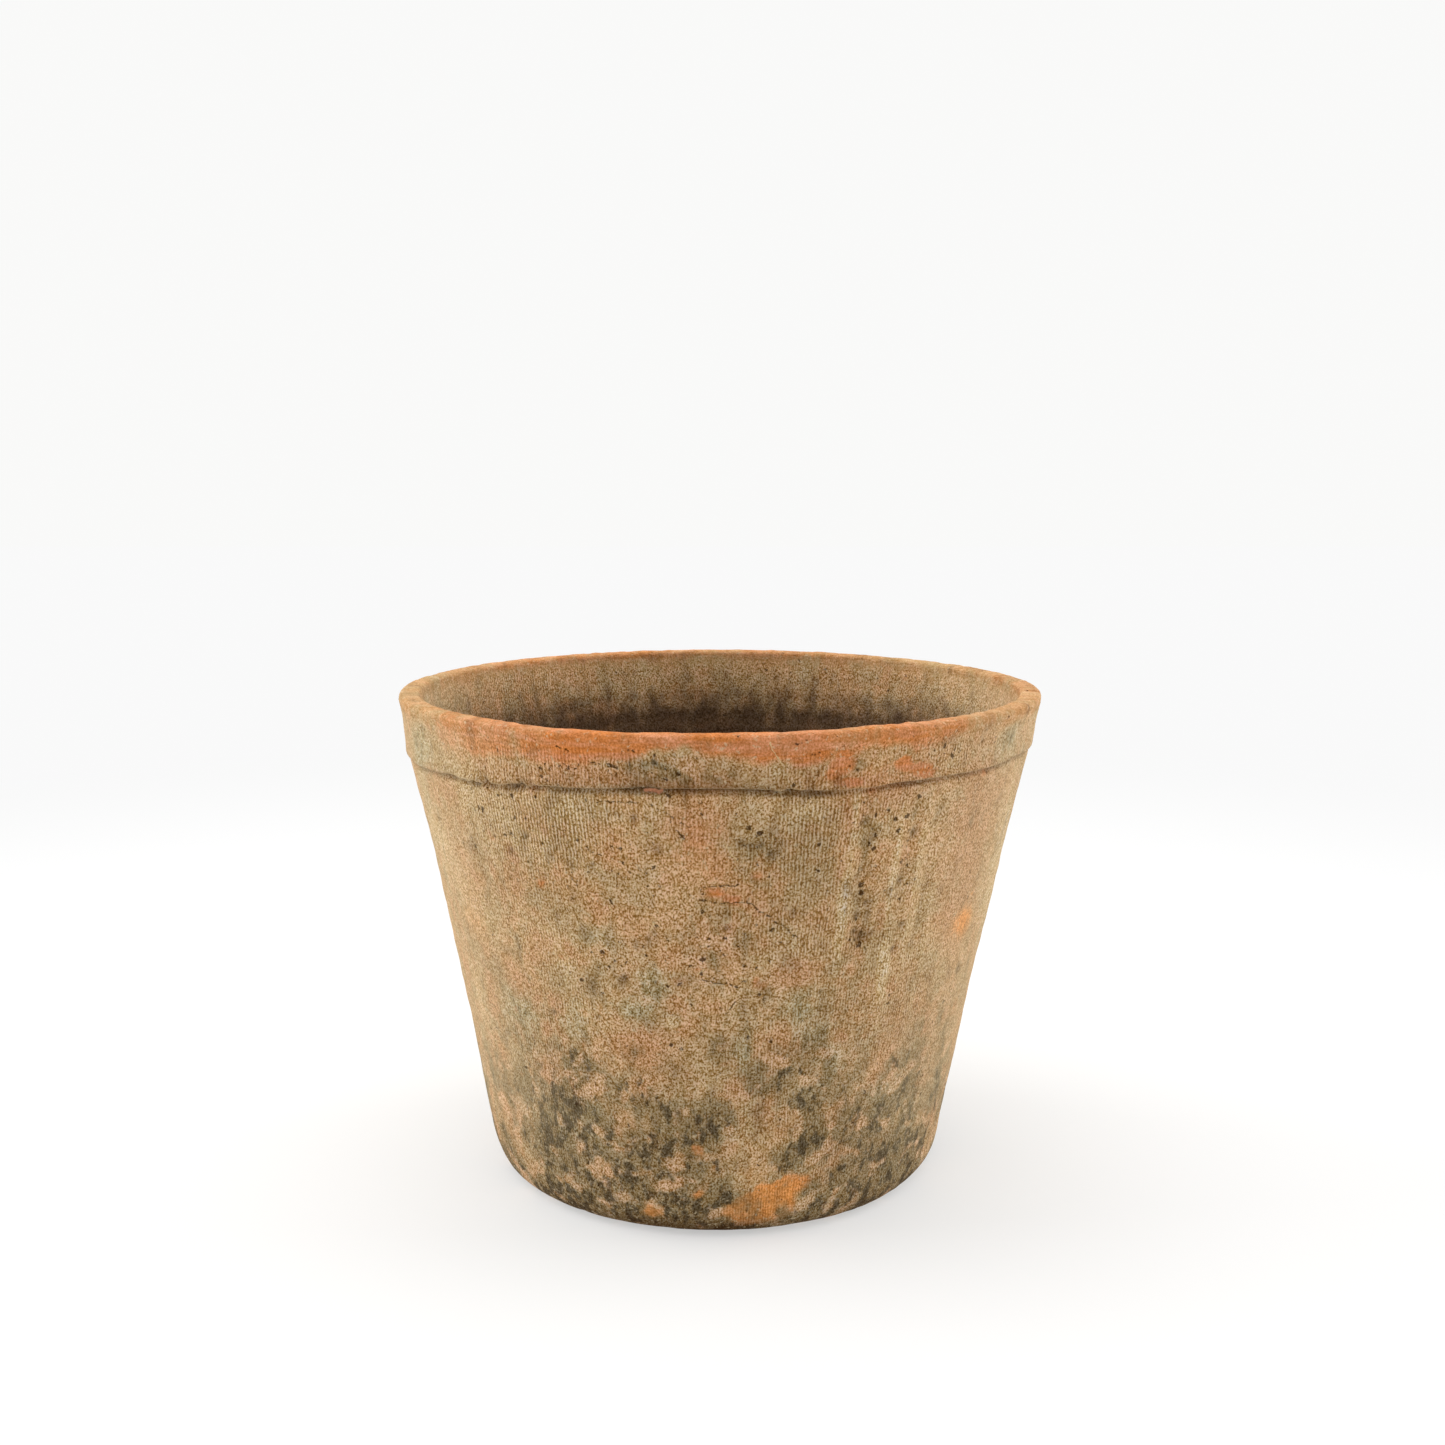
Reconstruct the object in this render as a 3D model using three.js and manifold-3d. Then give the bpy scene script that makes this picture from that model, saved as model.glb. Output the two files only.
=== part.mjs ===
// A hand-made terracotta flower pot with three loose drainage crocks on its floor.
// Millimetres, +Z up. The origin is the centre of the base, on the ground; the front of the pot faces -Y.
import * as THREE from "three";
import { mergeVertices } from "three/addons/utils/BufferGeometryUtils.js";
import Module from "manifold-3d";

const wasm = await Module();
wasm.setup();

// ---- Driving dimensions: the pot ----
const HEIGHT = 113.5;
const RIM_RADIUS = 75; // outside of the lip, the widest part
const LIP_THICKNESS = 4.8;
const LIP_ROUNDING = 1.4;
const BAND_HEIGHT = 13; // rim band, from the crease under it to the top of the lip
const BAND_EDGE_RADIUS = 73.6; // lower edge of the band, which stands proud of the wall
const BAND_EDGE_ROUNDING = 1;
const BAND_HOLLOW = 0.6; // how far the band's face curves in between its edge and the lip
const WALL_TOP_RADIUS = 72.7; // outside of the wall, in the crease under the band
const WALL_HOLLOW = 0.6; // how far the wall's outline curves in at mid-height
const BASE_RADIUS = 54; // outside of the wall where the base rounding begins
const BASE_ROUNDING = 6;
const WALL_THICKNESS = 6.2; // at the foot of the wall
const FLOOR_THICKNESS = 8;
const FLOOR_FILLET = 5;
const FILLET_FLARE = 1; // how much wider the cavity is at the top of the floor fillet than at its foot
const DRAIN_HOLE_RADIUS = 6.5;
const DRAIN_HOLE_CHAMFER = 0.8;

// ---- Driving dimensions: the crocks ----
const CROCK_THICKNESS = 5;
const CROCK_CURVE_RADIUS = 58; // outside radius of the old pot that the crocks broke from
const CROCK_GAP = 0.3; // between a crock and the floor that it lies on
const CROCK_LIFT = FLOOR_THICKNESS + CROCK_GAP;
const SPARE_ANGLE = 0.1; // radians of curved wall beyond each side of an outline, before it is broken off

// ---- Fineness ----
const POT_SEGMENTS = 72;
const CURVE_STEPS = 6;
const CROCK_ARC_STEPS = 10;
const MERGE_TOLERANCE = 1e-4;

const potClay = new THREE.MeshStandardMaterial({ color: 0xb09070, roughness: 0.92, metalness: 0 });
const crockClay = new THREE.MeshStandardMaterial({ color: 0xb5603c, roughness: 0.95, metalness: 0 });

// The pot's cross-section to one side of its axis, as (radius, height), closed on itself.
function potProfile() {
  const creaseHeight = HEIGHT - BAND_HEIGHT;
  const bandEdgeHeight = creaseHeight + BAND_EDGE_ROUNDING;
  const lipInside = RIM_RADIUS - LIP_THICKNESS;
  const floorRadius = BASE_RADIUS - WALL_THICKNESS;
  const flatRadius = BASE_RADIUS - BASE_ROUNDING;
  const cornerRadius = BASE_RADIUS - BASE_ROUNDING / 4; // where the leaning wall would meet the ground
  const wallMiddle = (BASE_RADIUS + WALL_TOP_RADIUS) / 2 - 2 * WALL_HOLLOW;
  const wallMiddleHeight = (BASE_ROUNDING + creaseHeight) / 2;
  const bandMiddle = (BAND_EDGE_RADIUS + RIM_RADIUS) / 2 - BAND_HOLLOW;
  const bandMiddleHeight = HEIGHT - BAND_HEIGHT / 2;

  const outline = new THREE.Path();
  outline.moveTo(DRAIN_HOLE_RADIUS + DRAIN_HOLE_CHAMFER, 0);
  outline.lineTo(flatRadius, 0);
  outline.quadraticCurveTo(cornerRadius, 0, BASE_RADIUS, BASE_ROUNDING);
  outline.quadraticCurveTo(wallMiddle, wallMiddleHeight, WALL_TOP_RADIUS, creaseHeight);
  outline.quadraticCurveTo(BAND_EDGE_RADIUS, creaseHeight, BAND_EDGE_RADIUS, bandEdgeHeight);
  outline.quadraticCurveTo(bandMiddle, bandMiddleHeight, RIM_RADIUS, HEIGHT - LIP_ROUNDING);
  outline.quadraticCurveTo(RIM_RADIUS, HEIGHT, RIM_RADIUS - LIP_ROUNDING, HEIGHT);
  outline.lineTo(lipInside + LIP_ROUNDING, HEIGHT);
  outline.quadraticCurveTo(lipInside, HEIGHT, lipInside, HEIGHT - LIP_ROUNDING);
  outline.lineTo(floorRadius + FILLET_FLARE, FLOOR_THICKNESS + FLOOR_FILLET);
  outline.quadraticCurveTo(floorRadius, FLOOR_THICKNESS, floorRadius - FLOOR_FILLET, FLOOR_THICKNESS);
  outline.lineTo(DRAIN_HOLE_RADIUS + DRAIN_HOLE_CHAMFER, FLOOR_THICKNESS);
  outline.lineTo(DRAIN_HOLE_RADIUS, FLOOR_THICKNESS - DRAIN_HOLE_CHAMFER);
  outline.lineTo(DRAIN_HOLE_RADIUS, DRAIN_HOLE_CHAMFER);
  outline.closePath();
  return outline.getPoints(CURVE_STEPS);
}

function makePot() {
  const turned = new THREE.LatheGeometry(potProfile(), POT_SEGMENTS);
  turned.rotateX(Math.PI / 2);
  const pot = new THREE.Mesh(turned, potClay);
  pot.name = "pot";
  return pot;
}

// A three.js geometry as a manifold-3d solid.
function solidFrom(geometry) {
  const bare = geometry.index ? geometry.toNonIndexed() : geometry.clone();
  bare.deleteAttribute("normal");
  bare.deleteAttribute("uv");
  const merged = mergeVertices(bare, MERGE_TOLERANCE);
  const vertProperties = merged.attributes.position.array;
  const triVerts = new Uint32Array(merged.index.array);
  return new wasm.Manifold(new wasm.Mesh({ numProp: 3, vertProperties, triVerts }));
}

// A manifold-3d solid as a three.js geometry.
function geometryFrom(solid) {
  const mesh = solid.getMesh();
  const geometry = new THREE.BufferGeometry();
  geometry.setAttribute("position", new THREE.BufferAttribute(mesh.vertProperties, 3));
  geometry.setIndex(new THREE.BufferAttribute(mesh.triVerts, 1));
  return geometry;
}

// A length of curved pot wall, lying along X with its hollow side down and its crown over the origin.
function curvedWall(halfWidth) {
  const inside = CROCK_CURVE_RADIUS - CROCK_THICKNESS;
  const halfAngle = Math.asin(Math.min(1, halfWidth / inside)) + SPARE_ANGLE;
  const section = new THREE.Shape();
  section.absarc(0, 0, CROCK_CURVE_RADIUS, Math.PI / 2 - halfAngle, Math.PI / 2 + halfAngle, false);
  section.absarc(0, 0, inside, Math.PI / 2 + halfAngle, Math.PI / 2 - halfAngle, true);
  section.closePath();
  const length = 4 * halfWidth; // twice the outline's own length, to cut into
  const straight = { depth: length, bevelEnabled: false, curveSegments: CROCK_ARC_STEPS };
  const wall = new THREE.ExtrudeGeometry(section, straight);
  wall.translate(0, 0, -length / 2);
  wall.rotateX(Math.PI / 2);
  wall.rotateZ(Math.PI / 2);
  return wall;
}

// One crock: a piece of curved wall inside a broken outline of (x, y) corners, with the curve's axis along
// its own X, turned by `turn` degrees and laid on the floor of the pot at (x, y).
function makeCrock(name, outline, x, y, turn) {
  const corners = outline.map(([cornerX, cornerY]) => new THREE.Vector2(cornerX, cornerY));
  const halfWidth = Math.max(...corners.map((corner) => corner.length()));
  const upright = { depth: 2 * CROCK_CURVE_RADIUS, bevelEnabled: false };
  const block = new THREE.ExtrudeGeometry(new THREE.Shape(corners), upright);
  const sherd = geometryFrom(solidFrom(curvedWall(halfWidth)).intersect(solidFrom(block)));
  sherd.computeBoundingBox();
  sherd.translate(0, 0, -sherd.boundingBox.min.z);
  const crock = new THREE.Mesh(sherd, crockClay);
  crock.name = name;
  crock.position.set(x, y, CROCK_LIFT);
  crock.rotation.z = THREE.MathUtils.degToRad(turn);
  return crock;
}

const OVER_HOLE_OUTLINE = [[-22, -9], [-6, -17], [13, -15], [21, 1], [11, 15], [-14, 17]];
const RIGHT_OUTLINE = [[-12, -7], [4, -10], [13, -1], [6, 9], [-9, 7]];
const FRONT_OUTLINE = [[-14, -4], [-3, -10], [12, -7], [14, 4], [-8, 9]];

const crocks = new THREE.Group();
crocks.add(makeCrock("crock_over_hole", OVER_HOLE_OUTLINE, -4, 4, 12));
crocks.add(makeCrock("crock_right", RIGHT_OUTLINE, 29, -10, 70));
crocks.add(makeCrock("crock_front", FRONT_OUTLINE, -5, -29, -8));

const object = new THREE.Group();
object.add(makePot(), crocks);

export default object;
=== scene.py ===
"""A weathered hand-made terracotta pot and its loose drainage crocks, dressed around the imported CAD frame.

Shapes are worked out in millimetres and written to Blender in metres. Places on the pot are given as an angle
in degrees around its axis (0 at the front, which faces -Y, and 90 at +X) and a height above the ground."""
import itertools
import math

import bpy
import numpy as np
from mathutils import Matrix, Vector


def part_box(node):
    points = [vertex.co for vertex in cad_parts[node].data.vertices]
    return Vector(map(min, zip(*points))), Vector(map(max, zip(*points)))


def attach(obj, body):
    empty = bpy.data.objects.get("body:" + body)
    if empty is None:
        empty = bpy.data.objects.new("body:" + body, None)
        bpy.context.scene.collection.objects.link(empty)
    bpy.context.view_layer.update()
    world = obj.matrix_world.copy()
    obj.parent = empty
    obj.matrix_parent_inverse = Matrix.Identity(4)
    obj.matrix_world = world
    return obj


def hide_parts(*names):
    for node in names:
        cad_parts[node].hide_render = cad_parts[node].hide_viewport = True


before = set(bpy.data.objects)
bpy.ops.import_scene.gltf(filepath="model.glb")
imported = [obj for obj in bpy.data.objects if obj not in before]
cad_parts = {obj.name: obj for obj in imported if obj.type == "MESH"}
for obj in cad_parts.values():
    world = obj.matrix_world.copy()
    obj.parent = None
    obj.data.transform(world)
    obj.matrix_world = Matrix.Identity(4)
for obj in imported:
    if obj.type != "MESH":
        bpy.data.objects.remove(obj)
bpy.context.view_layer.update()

MM = 0.001

# ---- The pot's shape in mm, which follows the CAD solid's proportions ----
RIM_RADIUS, _, HEIGHT = np.array(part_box("pot")[1]) / MM
LIP_THICKNESS = 4.8
LIP_ROUNDING = 1.4
BAND_HEIGHT = 13.0
CREASE_HEIGHT = HEIGHT - BAND_HEIGHT
BAND_EDGE_RADIUS = 73.6
BAND_EDGE_ROUNDING = 1.6
BAND_HOLLOW = 0.6
WALL_TOP_RADIUS = 72.7
WALL_HOLLOW = 0.6
BASE_RADIUS = 54.0
BASE_ROUNDING = 6.0
HAND_REACH = 30.0  # below the lip, where the inside's slope changes
HAND_REACH_INSET = 6.0  # how much smaller the inside's radius is there
FLOOR_RADIUS = 47.8
FLOOR_HEIGHT = 8.0
FLOOR_FILLET = 5.0
HOLE_RADIUS = 6.5
HOLE_CHAMFER = 0.8
BASE_OFFSET = -1.0  # the hand-thrown base sits this far along X from under the rim's centre

# ---- How finely the pot is meshed: vertices around each ring ----
FINE_RING = 512
MEDIUM_RING = 256
COARSE_RING = 128
UNDER_CREASE = 0.965  # share of the way up the wall where its rings crowd together
MEDIUM_STRIP = 1.5  # mm of medium rings between the coarse underside and the fine corner

# ---- Uneven hand work, as (angle, value) stations around the pot. Values are in mm unless said ----
CREASE_RISE = [
    (-170, 0.3), (-120, -0.6), (-70, -1.5), (-40, -0.6), (-26, 0.4), (-4, 1.4), (20, 0.6), (33, 1.1),
    (60, 0.9), (110, -0.5), (150, 0.5),
]
LIP_RISE = [
    (-180, 0.1), (-110, -0.2), (-50, -0.1), (-20, -0.3), (5, 0.0), (30, 0.35), (60, 0.1), (120, -0.25),
]
# how much is worn off the corner under the wall
BASE_WEAR = [(-75, 0.6), (-20, 0.1), (30, 0.0), (80, 0.1), (150, 0.2)]
# how strong the shadow painted where the clay meets the ground is, from 0 to 1
CONTACT_SHADE = [(-60, 0.15), (-28, 0.6), (-10, 0.9), (6, 0.9), (14, 0.5), (50, 0.4), (150, 0.5)]
# how undercut the crease is, and how much shade is painted under it, from 0 to 1
OVERHANG = [
    (-60, 0.2), (-22, 0.45), (-13, 1.0), (5, 1.0), (14, 0.4), (24, 0.1), (60, 0.3), (120, 0.8), (160, 0.2),
]
# how bare of weathered skin the lip is, from 0 to 1
LIP_BARE = [
    (-70, 0.1), (-60, 0.25), (-48, 0.5), (-30, 0.65), (-24, 1.0), (14, 1.0), (19, 0.55), (26, 0.75),
    (40, 0.55), (46, 0.2), (95, 0.35), (130, 0.1), (165, 0.45), (-140, 0.5), (-100, 0.15),
]
# how far down from the lip that bareness reaches
LIP_REACH = [
    (-60, 3.5), (-45, 7.0), (-33, 6.0), (-24, 5.6), (-12, 4.2), (-7, 3.2), (2, 3.4), (8, 5.5), (17, 5.0),
    (24, 2.8), (34, 4.6), (44, 1.5), (100, 3.0), (160, 4.5), (-130, 3.5),
]
CREASE_PULL = 26  # mm below the crease over which its waviness dies away
OUT_OF_ROUND = [(0.3, 2, 0.6), (0.18, 3, 2.0)]  # (mm, waves around the rim, phase)
WEAR_HEIGHT = 3.5  # mm up the foot where it is worn most
WEAR_REACH = 4.5  # mm above and below that

# ---- Marks of making and of wear ----
LUMPS = [(0.2, 16, 1), (0.08, 6, 2), (0.05, 2.6, 3)]  # (mm high, mm across, seed)
STREAKY = np.array([1, 1, 0.09])  # noise on points scaled by this is drawn out upright
THROWING_PITCH = 6.5  # mm between the faint rings outside
FINGER_PITCH = 5.2  # mm between the finger marks inside
FLAKE_DEPTH = 0.25  # mm
PIT_DEPTH = 0.4  # mm
NICK_DEPTH = 0.45  # mm
PIT_COUNT = 70  # scattered pits, besides the named ones
PIT_SEED = 7


# ---------------------------------------------------------------- noise and masks

def cell_value(cell, seed):
    """A repeatable value from -1 to 1 for each whole-number cell."""
    mixed = cell[:, 0] * 73856093 ^ cell[:, 1] * 19349663 ^ cell[:, 2] * 83492791 ^ (seed * 40503 + 977)
    mixed = (mixed ^ (mixed >> 13)) * 1274126177
    return ((mixed ^ (mixed >> 16)) & 0xFFFF) / 32767.5 - 1


def noise(points, size, seed):
    """Smooth noise from -1 to 1 with lumps about `size` across, at each point."""
    scaled = points / size
    cell = np.floor(scaled).astype(np.int64)
    part = scaled - cell
    ease = part * part * (3 - 2 * part)
    total = np.zeros(len(points))
    for corner in itertools.product((0, 1), repeat=3):
        weight = np.prod(np.where(corner, ease, 1 - ease), axis=1)
        total += weight * cell_value(cell + corner, seed)
    return total


def cloudy(points, size, seed, octaves=3):
    """Noise with finer lumps added, each octave half the size and half the strength of the last."""
    return sum(noise(points, size / 2 ** k, seed + k) / 2 ** k for k in range(octaves))


def smooth_step(value, low, high):
    """0 at low and 1 at high, easing between them. low may be above high."""
    t = np.clip((value - low) / (high - low), 0, 1)
    return t * t * (3 - 2 * t)


def bell(value, middle, half_width):
    """1 at the middle, fading to about 0.37 at the half width."""
    return np.exp(-((value - middle) / half_width) ** 2)


def around(angle, stations):
    """A value that eases from one (angle, value) station to the next, all the way round."""
    spots = sorted(stations)
    spots = [(spots[-1][0] - 360, spots[-1][1])] + spots + [(spots[0][0] + 360, spots[0][1])]
    result = np.zeros(len(angle))
    for (start, low), (end, high) in zip(spots, spots[1:]):
        inside = (angle >= start) & (angle < end)
        result[inside] = low + (high - low) * smooth_step(angle[inside], start, end)
    return result


# ---------------------------------------------------------------- the pot's surface

def curve(start, control, end, steps, first=0.0, last=1.0):
    """Points along a quadratic curve, from share `first` of it up to but not including share `last`."""
    t = first + (last - first) * np.arange(steps)[:, None] / steps
    start, control, end = np.array(start), np.array(control), np.array(end)
    return (1 - t) ** 2 * start + 2 * t * (1 - t) * control + t * t * end


def line(start, end, steps):
    return curve(start, (np.array(start) + np.array(end)) / 2, end, steps)


def outside_profile():
    """The outside of the pot as (zone, (radius, height) points, ring size), from the ground up to the lip."""
    flat_edge = (BASE_RADIUS - BASE_ROUNDING, 0)
    corner = (BASE_RADIUS - BASE_ROUNDING / 4, 0)
    wall_foot = (BASE_RADIUS, BASE_ROUNDING)
    wall_middle = ((BASE_RADIUS + WALL_TOP_RADIUS) / 2 - 2 * WALL_HOLLOW, (BASE_ROUNDING + CREASE_HEIGHT) / 2)
    wall_top = (WALL_TOP_RADIUS, CREASE_HEIGHT)
    band_edge = (BAND_EDGE_RADIUS, CREASE_HEIGHT + BAND_EDGE_ROUNDING)
    band_middle = ((BAND_EDGE_RADIUS + RIM_RADIUS) / 2 - BAND_HOLLOW, (CREASE_HEIGHT + HEIGHT) / 2)
    lip_foot = (RIM_RADIUS, HEIGHT - LIP_ROUNDING)
    return [
        ("corner", curve(flat_edge, corner, wall_foot, 13), FINE_RING),
        ("wall", curve(wall_foot, wall_middle, wall_top, 101, last=UNDER_CREASE), FINE_RING),
        ("wall", curve(wall_foot, wall_middle, wall_top, 10, first=UNDER_CREASE), FINE_RING),
        ("edge", curve(wall_top, (BAND_EDGE_RADIUS, CREASE_HEIGHT), band_edge, 8), FINE_RING),
        ("band", curve(band_edge, band_middle, lip_foot, 18), FINE_RING),
    ]


def lip_profile():
    """The rounded lip, from the top of the band over to the inside."""
    inside = RIM_RADIUS - LIP_THICKNESS
    foot = HEIGHT - LIP_ROUNDING
    outer_top = (RIM_RADIUS - LIP_ROUNDING, HEIGHT)
    inner_top = (inside + LIP_ROUNDING, HEIGHT)
    return [
        ("lip", curve((RIM_RADIUS, foot), (RIM_RADIUS, HEIGHT), outer_top, 5), FINE_RING),
        ("lip", line(outer_top, inner_top, 4), FINE_RING),
        ("lip", curve(inner_top, (inside, HEIGHT), (inside, foot), 5), FINE_RING),
    ]


def inside_profile():
    """The cavity and the drain hole, from under the lip down and out to the underside."""
    lip_foot = (RIM_RADIUS - LIP_THICKNESS, HEIGHT - LIP_ROUNDING)
    hand_reach = (RIM_RADIUS - LIP_THICKNESS - HAND_REACH_INSET, HEIGHT - HAND_REACH)
    fillet_top = (FLOOR_RADIUS + 1, FLOOR_HEIGHT + FLOOR_FILLET)
    fillet_foot = (FLOOR_RADIUS - FLOOR_FILLET, FLOOR_HEIGHT)
    hole_edge = HOLE_RADIUS + HOLE_CHAMFER
    hole_top = (HOLE_RADIUS, FLOOR_HEIGHT - HOLE_CHAMFER)
    hole_bottom = (HOLE_RADIUS, HOLE_CHAMFER)
    flat_edge = BASE_RADIUS - BASE_ROUNDING
    coarse_edge = flat_edge - MEDIUM_STRIP
    return [
        ("inside", line(lip_foot, hand_reach, 18), MEDIUM_RING),
        ("inside", line(hand_reach, fillet_top, 30), COARSE_RING),
        ("floor", curve(fillet_top, (FLOOR_RADIUS, FLOOR_HEIGHT), fillet_foot, 5), COARSE_RING),
        ("floor", line(fillet_foot, (hole_edge, FLOOR_HEIGHT), 14), COARSE_RING),
        ("hole", line((hole_edge, FLOOR_HEIGHT), hole_top, 2), COARSE_RING),
        ("hole", line(hole_top, hole_bottom, 6), COARSE_RING),
        ("hole", line(hole_bottom, (hole_edge, 0), 2), COARSE_RING),
        ("under", line((hole_edge, 0), (coarse_edge, 0), 9), COARSE_RING),
        ("under", line((coarse_edge, 0), (flat_edge, 0), 2), MEDIUM_RING),
    ]


def join_rings(lower, lower_count, upper, upper_count):
    """Faces between two rings of vertices, each given as its first index and its size, the same or double."""
    if lower_count == upper_count:
        return [(lower + j, lower + (j + 1) % lower_count, upper + (j + 1) % upper_count, upper + j)
                for j in range(lower_count)]
    faces = []
    for j in range(min(lower_count, upper_count)):
        if lower_count > upper_count:
            a, b, c = (lower + (2 * j + k) % lower_count for k in range(3))
            d, e = upper + j, upper + (j + 1) % upper_count
            faces += [(a, b, d), (b, e, d), (b, c, e)]
        else:
            a, b = lower + j, lower + (j + 1) % lower_count
            c, d, e = (upper + (2 * j + k) % upper_count for k in range(3))
            faces += [(a, d, c), (a, b, d), (b, e, d)]
    return faces


class Surface:
    """The pot's surface points in cylinder form, with the direction that faces out of the clay at each."""

    def __init__(self, sections):
        rows = np.vstack([points for _, points, _ in sections])
        counts = np.concatenate([[count] * len(points) for _, points, count in sections])
        zones = np.concatenate([[zone] * len(points) for zone, points, _ in sections])
        along = np.roll(rows, -1, axis=0) - np.roll(rows, 1, axis=0)
        outward = np.stack([along[:, 1], -along[:, 0]], axis=1)
        outward /= np.linalg.norm(outward, axis=1)[:, None]
        self.angle = np.concatenate([np.arange(n) * 360.0 / n - 180 for n in counts])
        self.radius = np.repeat(rows[:, 0], counts)
        self.height = np.repeat(rows[:, 1], counts)
        self.out_radius = np.repeat(outward[:, 0], counts)
        self.out_height = np.repeat(outward[:, 1], counts)
        self.zone = np.repeat(zones, counts)
        self.rest = self.points()
        starts = np.concatenate([[0], np.cumsum(counts)[:-1]])
        self.faces = []
        for k in range(len(counts)):
            after = (k + 1) % len(counts)
            self.faces += join_rings(int(starts[k]), int(counts[k]), int(starts[after]), int(counts[after]))

    def points(self):
        turn = np.radians(self.angle)
        return np.stack([self.radius * np.sin(turn), -self.radius * np.cos(turn), self.height], axis=1)

    def is_in(self, *zones):
        return np.isin(self.zone, zones).astype(float)

    def patch(self, angle, height, half_width, half_height, strength=1.0):
        """An oval patch on the wall: `strength` in its middle, fading out across its edge."""
        across = ((self.angle - angle + 180) % 360 - 180) * np.pi / 180 * self.radius
        return strength * bell(across, 0, half_width) * bell(self.height, height, half_height)

    def patches(self, spots):
        return np.max([self.patch(*spot) for spot in spots], axis=0)

    def push(self, distance):
        """Moves the surface out of the clay by the given distance, in mm."""
        self.radius = self.radius + self.out_radius * distance
        self.height = self.height + self.out_height * distance


# ---- Named places on the pot: (angle, height, half width, half height, strength if not 1), sizes in mm ----
# where the weathered skin has come off and bright clay shows
FLAKES = [
    (6.5, 5, 6, 3.6), (12, 8.5, 6.5, 5), (16.5, 12, 4, 3), (-14, 5, 3, 1.8), (-3.5, 11, 2, 1.6),
    (-4, 21.5, 1.4, 1.8), (-0.6, 80.7, 3.0, 1.1, 0.9), (2.4, 79.3, 1.8, 0.9, 0.9), (19.5, 107, 3.6, 3),
    (21, 103.4, 4, 1.2), (35, 104, 4.5, 2), (30, 106, 2.5, 2), (138, 9, 8, 4), (-122, 28, 4, 5),
    (168, 86, 5, 3), (101, 55, 3, 5), (-150, 105, 4, 2), (-146, 103.5, 5, 1.4), (-95, 5, 5, 2.5),
]
# soft orange stains
GLOWS = [
    (-3, 91, 7, 8, 0.4), (-14, 100, 9, 2.5, 0.25), (24, 105, 14, 4, 0.35), (56, 66, 4.6, 3.4, 0.95),
    (-55, 66.5, 5, 3, 0.3), (-1, 86, 3, 5, 0.35), (0.5, 80.5, 4, 1.8, 0.45), (-42, 108, 9, 4, 0.35),
    (0, 104, 22, 3.5, 0.3), (-7, 61, 2.5, 1.2, 0.3), (3, 64, 4, 3, 0.25), (-5, 28, 4, 2.5, 0.3),
    (12, 16, 6, 4, 0.3), (14, 26, 4, 3, 0.25), (-11, 30, 3, 2.5, 0.25), (100, 84, 7, 6, 0.4),
    (-150, 60, 8, 5, 0.4), (165, 30, 7, 4, 0.35), (-100, 40, 6, 5, 0.3),
]
# where bare clay is orange
ORANGES = [(8, 8, 16, 12), (-14, 5, 6, 4), (56, 66, 9, 7), (-55, 66, 9, 7), (-95, 5, 9, 5)]
# where the clay is pinker than around
BLUSHES = [
    (-4, 93, 9, 7), (0, 84, 4, 5), (-22, 104, 22, 3), (30, 100, 16, 5, 0.8), (50, 85, 14, 26, 0.7),
    (14, 62, 5, 3), (-17, 46, 7, 4, 0.7), (17, 46, 6, 4, 0.6), (40, 45, 9, 14, 0.7), (-38.5, 35.5, 3.5, 3),
    (-42, 28.5, 3, 3), (-29.5, 18, 3.6, 2.2), (-23.5, 24.5, 2.6, 2.4), (-15, 34, 3, 2.2),
    (5.5, 36.5, 4.4, 3), (28, 28, 2.5, 3), (-10, 15, 4, 5, 0.8), (28, 15, 8, 8, 0.7), (10, 31, 2.5, 4),
    (95, 75, 12, 12), (-130, 80, 14, 9), (176, 40, 12, 9), (140, 95, 14, 4), (-95, 45, 8, 10),
]
# pale grey-green bloom
MOSSES = [
    (-12, 60, 4.5, 5), (-15, 54, 6, 3.5), (-21, 69, 6, 4, 0.7), (15.5, 54, 5, 6), (18, 48, 5, 4, 0.8),
    (5, 44, 3, 5, 1.2), (-44, 48, 9, 7), (-30, 47, 6, 5, 0.7), (-66, 70, 6, 34, 0.45),
    (-61, 105, 6, 5, 1.2), (-27, 28, 4, 5), (-36, 25, 9, 8, 0.7), (7, 88, 5, 5, 0.45),
    (38, 29, 4, 4.5, 1.1), (2, 25, 4, 4), (-7, 106.5, 8, 3, 0.5), (21.5, 106, 2.6, 1.8),
    (57, 106, 6, 4, 0.9), (25, 41, 3, 6, 0.7), (45, 12, 7, 6, 0.6), (28, 96, 4, 5, 0.5), (110, 35, 8, 9),
    (150, 60, 6, 12), (-160, 50, 9, 7), (-110, 95, 5, 8), (-140, 14, 9, 5), (84, 20, 7, 6),
]
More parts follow.
